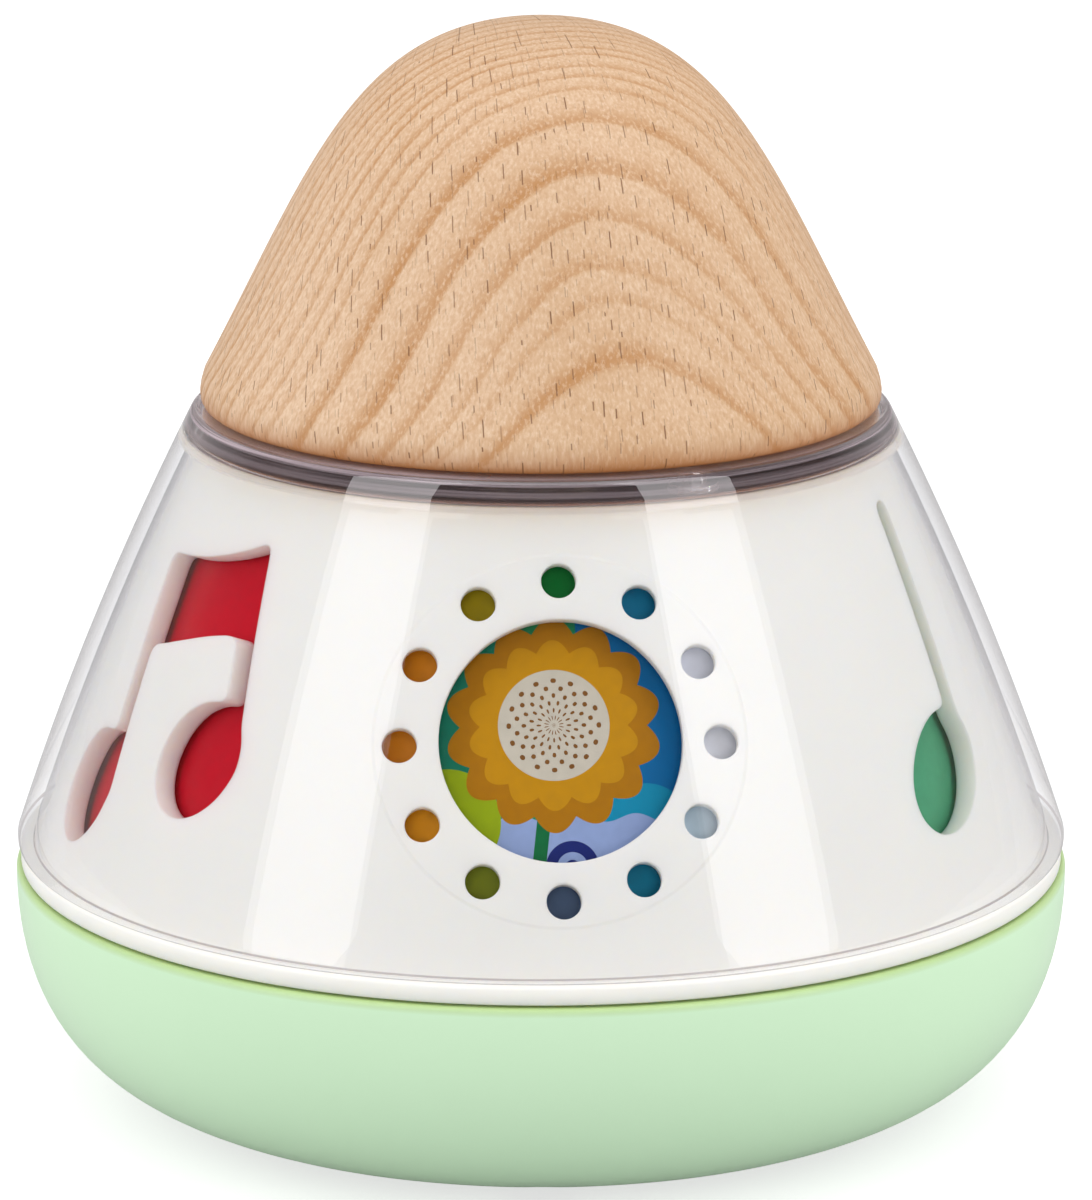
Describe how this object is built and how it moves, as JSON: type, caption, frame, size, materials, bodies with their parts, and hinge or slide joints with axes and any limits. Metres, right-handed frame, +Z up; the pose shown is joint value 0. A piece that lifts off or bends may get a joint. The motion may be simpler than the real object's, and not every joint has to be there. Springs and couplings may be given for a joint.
{
  "type": "musical spinning top toy",
  "caption": "Wind-up musical top: bowl base, cone wall with cut-outs under a clear cover, picture drum behind it, and a turned wooden dome that winds the music movement and turns the drum.",
  "frame": {"origin": "middle of the flat foot ring under the bowl, on the ground", "axes": "+Z up along the winding shaft, the front window faces -Y, +X to the right of a viewer at the front"},
  "size_m": [0.1304, 0.1304, 0.1337],
  "materials": {
    "mint_plastic": "satin moulded mint green",
    "white_plastic": "satin moulded warm white",
    "clear_plastic": "polished, clear",
    "printed_film": "printed in flat colours, gloss lacquer",
    "beech": "turned beech, thin matt lacquer",
    "grey_plastic": "moulded, unpainted",
    "acetal": "moulded natural acetal",
    "steel": "bright, oiled",
    "die_cast_zinc": null,
    "brass": "stamped, unlacquered"
  },
  "bodies": {
    "housing": {"base_bowl": "mint_plastic", "base_deck": "grey_plastic", "window_shell": "white_plastic", "clear_shell": "clear_plastic", "top_bush": "acetal", "base_screw_1": "steel", "base_screw_2": "steel", "base_screw_3": "steel", "deck_screw_1": "steel", "deck_screw_2": "steel", "deck_screw_3": "steel", "roof_screw_1": "steel", "roof_screw_2": "steel", "roof_screw_3": "steel", "movement_plate": "die_cast_zinc", "spring_case": "brass", "mainspring": "steel", "tone_comb": "steel", "governor_bracket": "brass", "movement_screw_1": "steel", "movement_screw_2": "steel", "movement_screw_3": "steel", "comb_screw_1": "steel", "comb_screw_2": "steel", "bracket_screw_1": "steel", "bracket_screw_2": "steel"},
    "winder": {"wooden_dome": "beech", "dome_hub": "acetal", "shaft_nut": "steel", "winding_shaft": "steel", "drum_carrier": "grey_plastic", "picture_drum": "printed_film", "dome_screw_1": "steel", "dome_screw_2": "steel", "dome_screw_3": "steel", "great_wheel": "brass", "shaft_clip": "steel"},
    "cylinder": {"cylinder_arbor": "steel", "cylinder_pinion": "brass", "cylinder_wheel": "brass", "pinned_cylinder": "brass"},
    "idler": {"idler_wheel": "acetal"},
    "governor": {"governor_worm": "steel", "governor_fan": "acetal"}
  },
  "joints": [
    {"name": "dome_turn", "type": "hinge", "parent": "housing", "child": "winder", "pos_m": [0, 0, 0], "axis": [0, 0, 1], "continuous": true},
    {"name": "cylinder_spin", "type": "hinge", "parent": "housing", "child": "cylinder", "pos_m": [0.02499, -0.01035, 0.0122], "axis": [0.9239, -0.3827, 0], "continuous": true},
    {"name": "idler_spin", "type": "hinge", "parent": "housing", "child": "idler", "pos_m": [0.03992, -0.00814, 0.01582], "axis": [0.9239, -0.3827, 0], "continuous": true},
    {"name": "governor_spin", "type": "hinge", "parent": "housing", "child": "governor", "pos_m": [0.04456, -0.004, 0.01582], "axis": [0, 0, 1], "continuous": true}
  ],
  "couplings": [
    {"joint": "cylinder_spin", "follows": "dome_turn", "ratio": -2.8333},
    {"joint": "idler_spin", "follows": "dome_turn", "ratio": 9.2083},
    {"joint": "governor_spin", "follows": "dome_turn", "ratio": -147.33}
  ]
}
